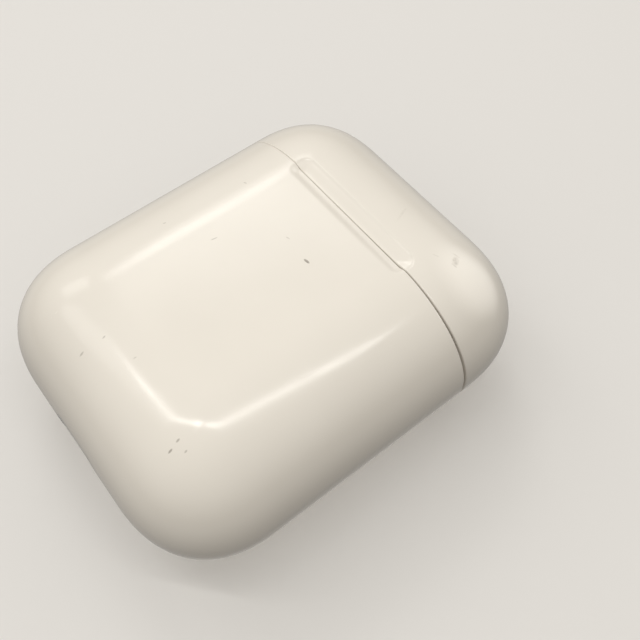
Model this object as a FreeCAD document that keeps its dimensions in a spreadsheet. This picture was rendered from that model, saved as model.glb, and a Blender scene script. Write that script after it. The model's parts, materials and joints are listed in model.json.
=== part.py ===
import FreeCAD, Part
import math
import os

import Sketcher
from FreeCAD import Placement, Rotation, Vector

# Charging case for a pair of wireless earbuds, lying on its back.
# Frame in millimetres: origin in the middle of the back face, +X across the case,
# +Y towards the lid, +Z from the back face to the front face.

DIMENSIONS = (
    # outer form
    ("case_width", 44.3),
    ("case_length", 53.5),
    ("case_depth", 21.3),
    ("corner_radius", 11.3),
    ("edge_radius", 10.6),
    ("wall", 1.3),
    ("fit_gap", 0.15),
    ("seam_level", 13.2),
    ("seam_gap", 0.3),
    # shallow thumb notch across the seam on the front face
    ("notch_width", 21.0),
    ("notch_height", 3.7),
    ("notch_depth", 0.4),
    ("notch_corner", 1.5),
    ("notch_rise", 0.25),
    # hinge across the back of the seam
    ("hinge_height", 1.1),
    ("barrel_radius", 1.7),
    ("barrel_inset", 0.06),
    ("hinge_relief", 1.95),
    ("hinge_half_width", 16.4),
    ("relief_depth", 3.0),
    ("pin_diameter", 1.0),
    ("pin_half_length", 13.9),
    ("pin_clearance", 0.03),
    ("knuckle_gap", 0.1),
    ("lid_knuckle_half", 7.9),
    ("body_knuckle_start", 8.0),
    ("counterbore_diameter", 1.8),
    ("counterbore_depth", 2.4),
    ("leaf_level", 1.8),
    ("leaf_thickness", 0.5),
    ("body_leaf_half", 13.6),
    ("lid_leaf_half", 7.0),
    ("leaf_overlap", 0.8),
    ("body_leaf_end", 7.0),
    ("lid_leaf_end", 18.3),
    ("spring_coil_radius", 0.69),
    ("spring_wire", 0.22),
    ("spring_pitch", 0.3),
    ("spring_length", 1.8),
    ("spring_start", 8.25),
    ("screw_offset", 4.5),
    ("body_screw_level", 9.5),
    ("lid_screw_level", 16.9),
    ("screw_diameter", 1.0),
    ("screw_length", 1.4),
    ("screw_head_diameter", 1.9),
    ("screw_head_height", 0.33),
    ("boss_diameter", 2.4),
    # tray with the two earbud wells
    ("lip_height", 1.0),
    ("tray_plate", 1.5),
    ("well_wall", 0.8),
    ("well_offset", 10.2),
    ("well_width", 16.2),
    ("well_depth", 14.6),
    ("well_corner", 6.0),
    ("well_floor", 5.8),
    ("stem_offset", 14.0),
    ("stem_diameter", 6.6),
    ("stem_floor", -17.25),
    ("mouth_round", 0.5),
    ("stem_mouth_round", 0.4),
    ("tube_gap", 0.05),
    ("tube_flange_thickness", 0.7),
    ("tube_flange_width", 0.6),
    # lid liner with its two dome recesses
    ("liner_level", 15.3),
    ("liner_plate", 1.2),
    ("dome_across", 8.1),
    ("dome_height", 8.2),
    ("dome_depth", 7.3),
    # closure and earbud magnets
    ("magnet_width", 6.4),
    ("magnet_height", 2.8),
    ("magnet_depth", 1.9),
    ("magnet_level", 17.95),
    ("bud_magnet_size", 4.0),
    ("bud_magnet_thickness", 1.5),
    ("bud_magnet_offset", 5.4),
    ("bud_magnet_level", 3.9),
    # charging contacts in the wells
    ("contact_diameter", 1.0),
    ("contact_length", 1.1),
    ("contact_spread", 1.2),
    ("contact_board_size", 6.0),
    ("contact_board_thickness", 0.3),
    # battery and main board
    ("battery_width", 18.4),
    ("battery_length", 20.0),
    ("battery_depth", 8.5),
    ("battery_round", 1.2),
    ("battery_base", -17.2),
    ("pad_width", 15.0),
    ("pad_length", 16.0),
    ("pad_thickness", 0.45),
    ("cell_board_width", 5.0),
    ("cell_board_thickness", 0.8),
    ("cell_board_depth", 6.0),
    ("board_width", 24.0),
    ("board_length", 21.0),
    ("board_thickness", 0.8),
    ("board_level", 4.5),
    ("board_base", -16.8),
    ("board_corner", 1.5),
    # setup button in the back face
    ("button_diameter", 4.8),
    ("button_hole", 5.0),
    ("button_rise", 0.25),
    ("button_recess", 0.05),
    ("flange_diameter", 6.2),
    ("flange_thickness", 0.55),
    ("post_diameter", 2.0),
    ("plunger_diameter", 1.3),
    ("plunger_length", 0.55),
    ("plunger_start", 2.65),
    ("switch_size", 4.5),
    ("switch_height", 1.4),
    ("switch_hole", 1.5),
    ("switch_hole_depth", 0.5),
    # charging port in the bottom end
    ("port_width", 8.0),
    ("port_height", 2.9),
    ("bezel_rim", 0.4),
    ("bezel_gap", 0.05),
    ("bezel_length", 1.7),
    ("bezel_recess", 0.25),
    ("socket_width", 8.8),
    ("socket_height", 4.2),
    ("socket_length", 7.0),
    ("cavity_width", 7.0),
    ("cavity_height", 1.9),
    ("cavity_depth", 6.4),
    ("pad_contact_width", 0.38),
    ("pad_contact_pitch", 0.7),
    ("pad_contact_length", 4.0),
    ("pad_contact_height", 0.15),
    ("flex_width", 6.0),
    ("flex_thickness", 0.2),
    # status light
    ("pipe_diameter", 1.2),
    ("pipe_length", 3.0),
    ("led_size", 1.6),
    ("led_height", 0.7),
)


class Size:
    """A length: its value in millimetres and the sheet expression that drives it."""

    def __init__(self, value, text):
        self.value = value
        self.text = text

    def joined(self, sign, other, value):
        other_text = other.text if isinstance(other, Size) else repr(other)
        return Size(value, f"({self.text} {sign} {other_text})")

    def __add__(self, other):
        return self.joined("+", other, self.value + number(other))

    def __sub__(self, other):
        return self.joined("-", other, self.value - number(other))

    def __mul__(self, other):
        return self.joined("*", other, self.value * number(other))

    def __truediv__(self, other):
        return self.joined("/", other, self.value / number(other))

    def __neg__(self):
        return Size(-self.value, f"(-1 * {self.text})")


def number(size):
    return size.value if isinstance(size, Size) else size


def bind(target, name, size):
    """Drive a property from the sheet, or set it when it is a plain number."""
    if isinstance(size, Size):
        target.setExpression(name, size.text)
    else:
        target.setExpression(name, repr(float(size)))


document = FreeCAD.newDocument("EarbudCase")
sheet = document.addObject("Spreadsheet::Sheet", "Dimensions")
for row, (name, value) in enumerate(DIMENSIONS, start=1):
    sheet.set(f"A{row}", name)
    sheet.set(f"B{row}", str(value))
    sheet.setAlias(f"B{row}", name)
document.recompute()
D = {name: Size(value, f"Dimensions.{name}") for name, value in DIMENSIONS}

# levels and sizes that several sub-parts share
INSET = D["wall"] + D["fit_gap"]
MID_DEPTH = D["case_depth"] / 2
BODY_RIM = D["seam_level"] - D["seam_gap"] / 2
LID_RIM = D["seam_level"] + D["seam_gap"] / 2
LIP_TOP = D["seam_level"] + D["lip_height"]
WELL_LOW = MID_DEPTH - D["well_depth"] / 2 - 0.1
WELL_HIGH = MID_DEPTH + D["well_depth"] / 2 + 0.1
PIN_BORE = D["pin_diameter"] + D["pin_clearance"] * 2
END_LEVEL = D["case_length"] / 2
FAR = 60.0

SUB_PARTS = []


# ---------------------------------------------------------------- sketches and features


def new_body(label):
    body = document.addObject("PartDesign::Body", label)
    body.Label = label
    return body


def sketch_on(body, role, first=0.0, second=0.0, out=0.0):
    """A sketch on an origin plane of the body, moved along the plane's own two
    directions and along its normal (XZ_Plane: X, Z and -Y; YZ_Plane: Y, Z and X)."""
    plane = next(item for item in body.Origin.OriginFeatures if item.Role == role)
    sketch = body.newObject("Sketcher::SketchObject", "Profile")
    sketch.AttachmentSupport = [(plane, "")]
    sketch.MapMode = "FlatFace"
    for axis, offset in zip("xyz", (first, second, out)):
        bind(sketch, f"AttachmentOffset.Base.{axis}", offset)
    return sketch


def name_constraint(sketch, name, constraint, size):
    index = sketch.addConstraint(constraint)
    sketch.renameConstraint(index, name)
    bind(sketch, f"Constraints.{name}", size)


def draw_circle(sketch, diameter):
    circle = Part.Circle(Vector(0, 0, 0), Vector(0, 0, 1), number(diameter) / 2)
    index = sketch.addGeometry(circle, False)
    sketch.addConstraint(Sketcher.Constraint("Coincident", index, 3, -1, 1))
    name_constraint(sketch, "across", Sketcher.Constraint("Diameter", index, number(diameter)), diameter)


def draw_rectangle(sketch, across, along, prefix=""):
    """A rectangle centred on the sketch's origin."""
    x, y = number(across) / 2, number(along) / 2
    corners = [Vector(-x, -y, 0), Vector(x, -y, 0), Vector(x, y, 0), Vector(-x, y, 0)]
    sides = []
    for start, end in zip(corners, corners[1:] + corners[:1]):
        sides.append(sketch.addGeometry(Part.LineSegment(start, end), False))
    for side, following in zip(sides, sides[1:] + sides[:1]):
        sketch.addConstraint(Sketcher.Constraint("Coincident", side, 2, following, 1))
    for side, direction in zip(sides, ("Horizontal", "Vertical", "Horizontal", "Vertical")):
        sketch.addConstraint(Sketcher.Constraint(direction, side))
    sketch.addConstraint(Sketcher.Constraint("Symmetric", sides[0], 1, sides[2], 1, -1, 1))
    width_of = Sketcher.Constraint("DistanceX", sides[0], 1, sides[0], 2, 2 * x)
    height_of = Sketcher.Constraint("DistanceY", sides[1], 1, sides[1], 2, 2 * y)
    name_constraint(sketch, prefix + "across", width_of, across)
    name_constraint(sketch, prefix + "along", height_of, along)


def draw_rounded(sketch, across, along, radius):
    """A rectangle with rounded corners, centred on the sketch's origin."""
    r = number(radius)
    x, y = number(across) / 2, number(along) / 2
    right_ends = [(r - x, -y), (x - r, -y), (x, r - y), (x, y - r)]
    left_ends = [(x - r, y), (r - x, y), (-x, y - r), (-x, r - y)]
    ends = right_ends + left_ends
    centres = [(x - r, r - y), (x - r, y - r), (r - x, y - r), (r - x, r - y)]
    pieces = []
    for corner, centre in enumerate(centres):
        start, end = ends[2 * corner], ends[2 * corner + 1]
        line = Part.LineSegment(Vector(*start, 0), Vector(*end, 0))
        pieces.append(sketch.addGeometry(line, False))
        circle = Part.Circle(Vector(*centre, 0), Vector(0, 0, 1), r)
        angle = (corner - 1) * math.pi / 2
        arc = Part.ArcOfCircle(circle, angle, angle + math.pi / 2)
        pieces.append(sketch.addGeometry(arc, False))
    for piece, following in zip(pieces, pieces[1:] + pieces[:1]):
        sketch.addConstraint(Sketcher.Constraint("Tangent", piece, 2, following, 1))
    for piece, direction in zip(pieces[::2], ("Horizontal", "Vertical", "Horizontal", "Vertical")):
        sketch.addConstraint(Sketcher.Constraint(direction, piece))
    for arc in pieces[3::2]:
        sketch.addConstraint(Sketcher.Constraint("Equal", pieces[1], arc))
    sketch.addConstraint(Sketcher.Constraint("Symmetric", pieces[0], 1, pieces[4], 1, -1, 1))
    name_constraint(sketch, "radius", Sketcher.Constraint("Radius", pieces[1], r), radius)
    width_of = Sketcher.Constraint("DistanceX", pieces[6], 1, pieces[2], 1, 2 * x)
    height_of = Sketcher.Constraint("DistanceY", pieces[0], 1, pieces[4], 1, 2 * y)
    name_constraint(sketch, "wide", width_of, across)
    name_constraint(sketch, "high", height_of, along)


def pad(body, sketch, length, against_normal=False):
    feature = body.newObject("PartDesign::Pad", "Pad")
    feature.Profile = sketch
    feature.Reversed = against_normal
    bind(feature, "Length", length)
    document.recompute()
    return feature


def cut(body, sketch, length, along_normal=False, both_ways=False):
    """A pocket, which has to take something away."""
    before = body.Shape.Volume
    feature = body.newObject("PartDesign::Pocket", "Pocket")
    feature.Profile = sketch
    feature.Midplane = both_ways
    feature.Reversed = along_normal
    bind(feature, "Length", length)
    document.recompute()
    if body.Shape.Volume > before - 1e-6:
        raise RuntimeError(f"a pocket in {body.Label} cuts nothing")
    return feature


def ellipsoid(body, kind, centre, radii):
    """An ellipsoid added to or taken from the body; radii along X, Y and Z."""
    feature = body.newObject(f"PartDesign::{kind}Ellipsoid", "Dome")
    across, along, deep = radii
    bind(feature, "Radius2", across)
    bind(feature, "Radius3", along)
    bind(feature, "Radius1", deep)
    for axis, place in zip("xyz", centre):
        bind(feature, f"Placement.Base.{axis}", place)
    document.recompute()
    return feature


def round_edges(body, radius, chosen):
    """Round the edges of the body's last feature that the test chooses."""
    last = body.Tip
    edges = [f"Edge{index}" for index, edge in enumerate(last.Shape.Edges, start=1) if chosen(edge)]
    rounding = body.newObject("PartDesign::Fillet", "Rounding")
    rounding.Base = (last, edges)
    bind(rounding, "Radius", radius)
    document.recompute()
    return rounding


def on_level(edge, level):
    """Whether an edge lies in the plane across the case at a level along Y."""
    return edge.BoundBox.YLength < 1e-5 and abs(edge.BoundBox.YMin - level.value) < 1e-4


def keep(sub_part, label):
    """Name a finished sub-part and list it for export."""
    sub_part.Label = label
    SUB_PARTS.append(sub_part)
    return sub_part


# ---------------------------------------------------------------- simple solids


def box(name, centre, sizes):
    """A block bound to the sheet, given its centre and its sizes along X, Y and Z."""
    block = document.addObject("Part::Box", name)
    for field, axis, place, size in zip(("Length", "Width", "Height"), "xyz", centre, sizes):
        bind(block, field, size)
        corner = place - size / 2 if isinstance(place, Size) else -(size / 2) + place
        bind(block, f"Placement.Base.{axis}", corner)
    return block


def rod(name, start, diameter, length, direction):
    """A cylinder bound to the sheet, from its start point along +X, +Y or +Z."""
    cylinder = document.addObject("Part::Cylinder", name)
    bind(cylinder, "Radius", diameter / 2)
    bind(cylinder, "Height", length)
    cylinder.Placement = Placement(Vector(), Rotation(Vector(0, 0, 1), direction))
    for axis, place in zip("xyz", start):
        bind(cylinder, f"Placement.Base.{axis}", place)
    return cylinder


def joined(name, shapes):
    """Several solids as one object: touching ones fuse, the others stay apart."""
    group = document.addObject("Part::MultiFuse", name)
    group.Shapes = shapes
    return group


# ---------------------------------------------------------------- outer shells


def case_form(body, inset):
    """The whole pebble form, smaller all round by inset."""
    sketch = sketch_on(body, "XY_Plane", out=inset)
    width = D["case_width"] - inset * 2
    length = D["case_length"] - inset * 2
    draw_rounded(sketch, width, length, D["corner_radius"] - inset)
    pad(body, sketch, D["case_depth"] - inset * 2)
    return round_edges(body, D["edge_radius"] - inset, lambda edge: edge.BoundBox.ZLength < 1e-6)


def cut_half(body, level, keep_lid):
    """Take away everything on one side of the level."""
    sketch = sketch_on(body, "XZ_Plane", second=MID_DEPTH, out=-level)
    draw_rectangle(sketch, FAR, FAR)
    return cut(body, sketch, FAR, along_normal=keep_lid)


def hollow(body, level):
    """Leave a wall of even thickness, open at the level."""
    last = body.Tip
    open_faces = [f"Face{index}" for index, face in enumerate(last.Shape.Faces, start=1)
                  if face.BoundBox.YLength < 1e-5 and abs(face.CenterOfMass.y - level.value) < 1e-4]
    shell = body.newObject("PartDesign::Thickness", "Hollow")
    shell.Base = (last, open_faces)
    shell.Reversed = True
    shell.Mode = 0
    shell.Join = 0
    bind(shell, "Value", D["wall"])
    document.recompute()
    return shell


def cut_notch(body):
    """The shallow thumb notch, which both shells share."""
    floor = D["case_depth"] - D["notch_depth"]
    sketch = sketch_on(body, "XY_Plane", second=D["seam_level"] + D["notch_rise"], out=floor)
    draw_rounded(sketch, D["notch_width"], D["notch_height"], D["notch_corner"])
    cut(body, sketch, 2.0, along_normal=True)


def cut_hinge_relief(body):
    """The gap in the back wall that the hinge barrel fills."""
    sketch = sketch_on(body, "XY_Plane", second=D["seam_level"], out=-1.0)
    draw_rectangle(sketch, D["hinge_half_width"] * 2, D["hinge_relief"] * 2)
    cut(body, sketch, D["relief_depth"] + 1.0, along_normal=True)


def make_body_shell():
    shell = new_body("body_shell")
    case_form(shell, D["wall"] * 0)
    cut_half(shell, BODY_RIM, keep_lid=False)
    hollow(shell, BODY_RIM)
    cut_notch(shell)
    cut_hinge_relief(shell)
    button = sketch_on(shell, "XY_Plane", second=D["button_rise"], out=-1.0)
    draw_circle(button, D["button_hole"])
    cut(shell, button, 3.0, along_normal=True)
    port = sketch_on(shell, "XZ_Plane", second=MID_DEPTH, out=END_LEVEL + 1.0)
    rim = (D["bezel_rim"] + D["bezel_gap"]) * 2
    draw_rounded(port, D["port_width"] + rim, D["port_height"] + rim, (D["port_height"] + rim) * 0.49)
    cut(shell, port, 4.0)
    return keep(shell, "body_shell")


def make_lid_shell():
    shell = new_body("lid_shell")
    case_form(shell, D["wall"] * 0)
    cut_half(shell, LID_RIM, keep_lid=True)
    hollow(shell, LID_RIM)
    cut_notch(shell)
    cut_hinge_relief(shell)
    return keep(shell, "lid_shell")


# ---------------------------------------------------------------- tray and lid liner


def section_plate(body, top, thickness):
    """A plate across the case that follows its section, from top down by thickness."""
    sketch = sketch_on(body, "XZ_Plane", second=MID_DEPTH, out=-top)
    draw_rounded(sketch, D["case_width"] - INSET * 2, D["case_depth"] - INSET * 2, D["edge_radius"] - INSET)
    return pad(body, sketch, thickness)


def screw_boss(body, across, level, height):
    """A boss that the hinge leaf is screwed to."""
    leaf_top = D["leaf_level"] + D["leaf_thickness"]
    boss = sketch_on(body, "XY_Plane", first=across, second=level, out=leaf_top)
    draw_circle(boss, D["boss_diameter"])
    pad(body, boss, height)


def screw_hole(body, across, level):
    hole = sketch_on(body, "XY_Plane", first=across, second=level, out=D["leaf_level"] - 0.5)
    draw_circle(hole, D["screw_diameter"] + 0.06)
    cut(body, hole, D["screw_length"] + 0.6, along_normal=True)


def cut_barrel_room(body):
    """Room for the hinge barrel under the seam."""
    clearance = sketch_on(body, "XZ_Plane", out=-(D["seam_level"] - D["hinge_relief"]))
    room_height = D["hinge_height"] + D["barrel_radius"] + 0.35
    draw_rectangle(clearance, (D["hinge_half_width"] + 0.3) * 2, room_height * 2)
    cut(body, clearance, FAR)


def cut_head_pocket(body, side, floor):
    pocket = sketch_on(body, "XZ_Plane", first=D["well_offset"] * side, second=MID_DEPTH, out=-floor)
    draw_rounded(pocket, D["well_width"], D["well_depth"], D["well_corner"])
    cut(body, pocket, FAR)


def make_charging_tray():
    """The plate round the mouths of both wells, whose lip stands up into the lid."""
    tray = new_body("charging_tray")
    section_plate(tray, LIP_TOP, D["tray_plate"])
    for side in (-1, 1):
        cut_head_pocket(tray, side, D["well_floor"])
    pipe = sketch_on(tray, "XZ_Plane", second=MID_DEPTH, out=-LIP_TOP - 1.0)
    draw_circle(pipe, D["pipe_diameter"] + 0.06)
    cut(tray, pipe, D["tray_plate"] + 2.0, along_normal=True)
    cut_barrel_room(tray)
    smallest = D["pipe_diameter"].value * 2.2
    round_edges(tray, D["mouth_round"], lambda edge: on_level(edge, LIP_TOP)
                and WELL_LOW.value < edge.BoundBox.ZMin and edge.BoundBox.ZMax < WELL_HIGH.value
                and edge.BoundBox.XLength + edge.BoundBox.ZLength > smallest)
    return keep(tray, "charging_tray")


def make_well(label, side):
    """A head pocket under the tray, with a hole in its floor for the stem tube."""
    well = new_body(label)
    cup_wall = D["well_wall"] * 2
    cup_base = D["well_floor"] - D["well_wall"]
    cup_top = LIP_TOP - D["tray_plate"] - 0.02
    cup = sketch_on(well, "XZ_Plane", first=D["well_offset"] * side, second=MID_DEPTH, out=-cup_base)
    cup_corner = D["well_corner"] + D["well_wall"]
    draw_rounded(cup, D["well_width"] + cup_wall, D["well_depth"] + cup_wall, cup_corner)
    pad(well, cup, cup_top - cup_base, against_normal=True)
    screw_boss(well, D["screw_offset"] * side, D["body_screw_level"], D["well_wall"])
    cut_head_pocket(well, side, D["well_floor"])
    seat = sketch_on(well, "XZ_Plane", first=D["stem_offset"] * side, second=MID_DEPTH, out=-cup_base + 1.0)
    draw_circle(seat, D["stem_diameter"] + cup_wall + D["tube_gap"] * 2)
    cut(well, seat, D["well_wall"] + 1.5)
    cut_barrel_room(well)
    screw_hole(well, D["screw_offset"] * side, D["body_screw_level"])
    return keep(well, label)


def make_stem_tube(label, side):
    """A closed tube for one stem, pushed up into the floor of its head pocket as far as its flange."""
    tube = new_body(label)
    wall = D["well_wall"] * 2
    base = D["stem_floor"] - D["well_wall"]
    flange_base = D["well_floor"] - D["well_wall"] - D["tube_flange_thickness"] - 0.02
    across = D["stem_offset"] * side
    outside = sketch_on(tube, "XZ_Plane", first=across, second=MID_DEPTH, out=-base)
    draw_circle(outside, D["stem_diameter"] + wall)
    pad(tube, outside, D["well_floor"] - base, against_normal=True)
    flange = sketch_on(tube, "XZ_Plane", first=across, second=MID_DEPTH, out=-flange_base)
    draw_circle(flange, D["stem_diameter"] + wall + D["tube_flange_width"] * 2)
    pad(tube, flange, D["tube_flange_thickness"], against_normal=True)
    stem = sketch_on(tube, "XZ_Plane", first=across, second=MID_DEPTH, out=-D["stem_floor"])
    draw_circle(stem, D["stem_diameter"])
    cut(tube, stem, FAR)
    for place in (-1, 1):
        contact_across = across + D["contact_spread"] * place
        contact = sketch_on(tube, "XZ_Plane", first=contact_across, second=MID_DEPTH, out=-base + 1.0)
        draw_circle(contact, D["contact_diameter"] + 0.1)
        cut(tube, contact, 2.5)
    round_edges(tube, D["stem_mouth_round"], lambda edge: on_level(edge, D["well_floor"])
                and isinstance(edge.Curve, Part.Circle) and edge.Curve.Radius < D["stem_diameter"].value * 0.6)
    return keep(tube, label)


def make_lid_liner():
    liner = new_body("lid_liner")
    plate_top = D["liner_level"] + D["liner_plate"]
    section_plate(liner, plate_top, D["liner_plate"])
    inner = (D["dome_across"], D["dome_height"], D["dome_depth"])
    outer = tuple(radius + D["well_wall"] for radius in inner)
    centres = [(D["well_offset"] * side, D["liner_level"], MID_DEPTH) for side in (-1, 1)]
    for centre in centres:
        ellipsoid(liner, "Additive", centre, outer)
    for side in (-1, 1):
        screw_boss(liner, D["screw_offset"] * side, D["lid_screw_level"], 3.2)
    for centre in centres:
        ellipsoid(liner, "Subtractive", centre, inner)
    cut_half(liner, D["liner_level"], keep_lid=True)
    clearance = sketch_on(liner, "XZ_Plane", out=-D["liner_level"] + 1.0)
    leaf_room = D["leaf_level"] + D["leaf_thickness"] + 0.25
    draw_rectangle(clearance, (D["lid_leaf_half"] + 0.3) * 2, leaf_room * 2)
    cut(liner, clearance, D["liner_plate"] + 1.3)
    for side in (-1, 1):
        screw_hole(liner, D["screw_offset"] * side, D["lid_screw_level"])
    round_edges(liner, D["mouth_round"], lambda edge: on_level(edge, D["liner_level"])
                and WELL_LOW.value < edge.BoundBox.ZMin and edge.BoundBox.ZMax < WELL_HIGH.value
                and not isinstance(edge.Curve, Part.Line))
    return keep(liner, "lid_liner")


# ---------------------------------------------------------------- hinge


def trim_to_case(body):
    """Trim the barrel flush with the outside of the case."""
    ring = sketch_on(body, "XZ_Plane", second=MID_DEPTH)
    draw_rectangle(ring, FAR, FAR, prefix="outer_")
    inset = D["barrel_inset"]
    draw_rounded(ring, D["case_width"] - inset * 2, D["case_depth"] - inset * 2, D["edge_radius"] - inset)
    cut(body, ring, FAR, both_ways=True)


def knuckle(body, start, length):
    barrel = sketch_on(body, "YZ_Plane", first=D["seam_level"], second=D["hinge_height"], out=start)
    draw_circle(barrel, D["barrel_radius"] * 2)
    pad(body, barrel, length)


def bore(body, start, length, diameter):
    """A hole along the hinge axis."""
    hole = sketch_on(body, "YZ_Plane", first=D["seam_level"], second=D["hinge_height"], out=start)
    draw_circle(hole, diameter)
    cut(body, hole, length, along_normal=True)


def leaf_plate(body, half_width, inner, outer):
    """The flat leaf between two levels along Y."""
    middle = (inner + outer) / 2
    plate = sketch_on(body, "XY_Plane", second=middle, out=D["leaf_level"])
    draw_rectangle(plate, half_width * 2, outer - inner)
    pad(body, plate, D["leaf_thickness"])


def leaf_holes(body, level):
    for side in (-1, 1):
        below = D["leaf_level"] - 0.5
        hole = sketch_on(body, "XY_Plane", first=D["screw_offset"] * side, second=level, out=below)
        draw_circle(hole, D["screw_diameter"] + 0.2)
        cut(body, hole, D["leaf_thickness"] + 1.0, along_normal=True)


def make_hinge_body_leaf():
    leaf = new_body("hinge_body_leaf")
    knuckle_end = D["hinge_half_width"] - D["knuckle_gap"]
    length = knuckle_end - D["body_knuckle_start"]
    leaf_plate(leaf, D["body_leaf_half"], D["body_leaf_end"], D["seam_level"] - D["leaf_overlap"])
    window = sketch_on(leaf, "XY_Plane", second=D["seam_level"], out=D["leaf_level"] - 0.5)
    draw_rectangle(window, (D["body_knuckle_start"] + 0.1) * 2, (D["barrel_radius"] + 0.3) * 2)
    cut(leaf, window, D["leaf_thickness"] + 1.0, along_normal=True)
    starts = (-knuckle_end, D["body_knuckle_start"])
    for start in starts:
        knuckle(leaf, start, length)
    trim_to_case(leaf)
    bore(leaf, -(D["pin_half_length"] + 0.1), (D["pin_half_length"] + 0.1) * 2, PIN_BORE)
    counterbore_end = D["body_knuckle_start"] + D["counterbore_depth"]
    for start in (-counterbore_end, D["body_knuckle_start"] - 0.2):
        bore(leaf, start, D["counterbore_depth"] + 0.2, D["counterbore_diameter"])
    leaf_holes(leaf, D["body_screw_level"])
    return keep(leaf, "hinge_body_leaf")


def make_hinge_lid_leaf():
    leaf = new_body("hinge_lid_leaf")
    knuckle(leaf, -D["lid_knuckle_half"], D["lid_knuckle_half"] * 2)
    leaf_plate(leaf, D["lid_leaf_half"], D["seam_level"] + D["leaf_overlap"], D["lid_leaf_end"])
    trim_to_case(leaf)
    bore(leaf, -D["lid_knuckle_half"] - 1.0, (D["lid_knuckle_half"] + 1.0) * 2, PIN_BORE)
    leaf_holes(leaf, D["lid_screw_level"])
    return keep(leaf, "hinge_lid_leaf")


def make_hinge_pin():
    start = (-D["pin_half_length"], D["seam_level"], D["hinge_height"])
    pin = rod("HingePin", start, D["pin_diameter"], D["pin_half_length"] * 2, Vector(1, 0, 0))
    keep(pin, "hinge_pin")


def make_hinge_springs():
    """Two close coils round the pin, one each side of the lid's knuckle."""
    coils = []
    for side in (-1, 1):
        path = document.addObject("Part::Helix", "SpringPath")
        bind(path, "Radius", D["spring_coil_radius"])
        bind(path, "Pitch", D["spring_pitch"])
        bind(path, "Height", D["spring_length"])
        wire = document.addObject("Part::Circle", "SpringWire")
        bind(wire, "Radius", D["spring_wire"] / 2)
        wire.Placement = Placement(Vector(), Rotation(Vector(1, 0, 0), 90))
        bind(wire, "Placement.Base.x", D["spring_coil_radius"])
        coil = document.addObject("Part::Sweep", "SpringCoil")
        coil.Sections = [wire]
        coil.Spine = (path, [])
        coil.Solid = True
        coil.Frenet = True
        coil.Placement = Placement(Vector(), Rotation(Vector(0, 0, 1), Vector(side, 0, 0)))
        bind(coil, "Placement.Base.x", D["spring_start"] * side)
        bind(coil, "Placement.Base.y", D["seam_level"])
        bind(coil, "Placement.Base.z", D["hinge_height"])
        coils.append(coil)
    keep(joined("HingeSprings", coils), "hinge_springs")


def make_screws(label, level):
    """Two short screws whose heads lie against the hinge leaf."""
    screws = []
    for side in (-1, 1):
        across = D["screw_offset"] * side
        head_start = D["leaf_level"] - D["screw_head_height"]
        head_place = (across, level, head_start)
        head = rod("ScrewHead", head_place, D["screw_head_diameter"], D["screw_head_height"], Vector(0, 0, 1))
        shank_place = (across, level, D["leaf_level"])
        shank = rod("ScrewShank", shank_place, D["screw_diameter"], D["screw_length"], Vector(0, 0, 1))
        screws.extend([head, shank])
    keep(joined("Screws", screws), label)


# ---------------------------------------------------------------- magnets, contacts, light


def make_magnets():
    lid_level = D["liner_level"] + D["liner_plate"] + D["magnet_height"] / 2 + 0.02
    lid_centre = (0.0, lid_level, D["magnet_level"])
    body_centre = (0.0, LIP_TOP - D["tray_plate"] - D["magnet_height"] / 2 - 0.02, D["magnet_level"])
    sizes = (D["magnet_width"], D["magnet_height"], D["magnet_depth"])
    keep(box("LidMagnet", lid_centre, sizes), "lid_magnet")
    keep(box("BodyMagnet", body_centre, sizes), "body_magnet")
    bud_sizes = (D["bud_magnet_size"], D["bud_magnet_thickness"], D["bud_magnet_size"])
    pair = [box("BudMagnet", (D["bud_magnet_offset"] * side, D["bud_magnet_level"], MID_DEPTH), bud_sizes)
            for side in (-1, 1)]
    keep(joined("BudMagnets", pair), "earbud_magnets")


def make_contacts():
    """Charging contacts through the floor of each stem well, and their small boards."""
    board_top = D["stem_floor"] - D["well_wall"] - 0.5
    pins = []
    boards = []
    for side in (-1, 1):
        for place in (-1, 1):
            across = D["stem_offset"] * side + D["contact_spread"] * place
            start = (across, board_top, MID_DEPTH)
            size = (D["contact_diameter"], D["contact_length"])
            pins.append(rod("ContactPin", start, *size, Vector(0, 1, 0)))
        centre = (D["stem_offset"] * side, board_top - D["contact_board_thickness"] / 2, MID_DEPTH)
        sizes = (D["contact_board_size"], D["contact_board_thickness"], D["contact_board_size"])
        boards.append(box("ContactBoard", centre, sizes))
    keep(joined("WellContacts", pins), "well_contacts")
    keep(joined("ContactBoards", boards), "contact_boards")


def make_status_light():
    pipe_start = (0.0, LIP_TOP - D["pipe_length"], MID_DEPTH)
    pipe = rod("LightPipe", pipe_start, D["pipe_diameter"], D["pipe_length"], Vector(0, 1, 0))
    keep(pipe, "light_pipe")
    led_centre = (0.0, LIP_TOP - D["pipe_length"] - D["led_height"] / 2 - 0.1, MID_DEPTH)
    keep(box("StatusLed", led_centre, (D["led_size"], D["led_height"], D["led_size"])), "status_led")


# ---------------------------------------------------------------- battery and electronics


def make_battery():
    base = (D["case_depth"] - D["battery_depth"]) / 2
    cell = new_body("battery")
    middle = D["battery_base"] + D["battery_length"] / 2
    sketch = sketch_on(cell, "XY_Plane", second=middle, out=base)
    draw_rounded(sketch, D["battery_width"], D["battery_length"], D["battery_round"])
    pad(cell, sketch, D["battery_depth"])
    round_edges(cell, D["battery_round"] * 0.6, lambda edge: edge.BoundBox.ZLength < 1e-6)
    keep(cell, "battery")
    foam_centre = (0.0, middle, base - D["pad_thickness"] / 2)
    pad_sizes = (D["pad_width"], D["pad_length"], D["pad_thickness"])
    keep(box("BatteryPad", foam_centre, pad_sizes), "battery_pad")
    guard_level = D["battery_base"] + D["battery_length"] + D["cell_board_thickness"] / 2 + 0.05
    guard_sizes = (D["cell_board_width"], D["cell_board_thickness"], D["cell_board_depth"])
    keep(box("BatteryGuard", (0.0, guard_level, MID_DEPTH), guard_sizes), "battery_guard_board")


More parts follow.
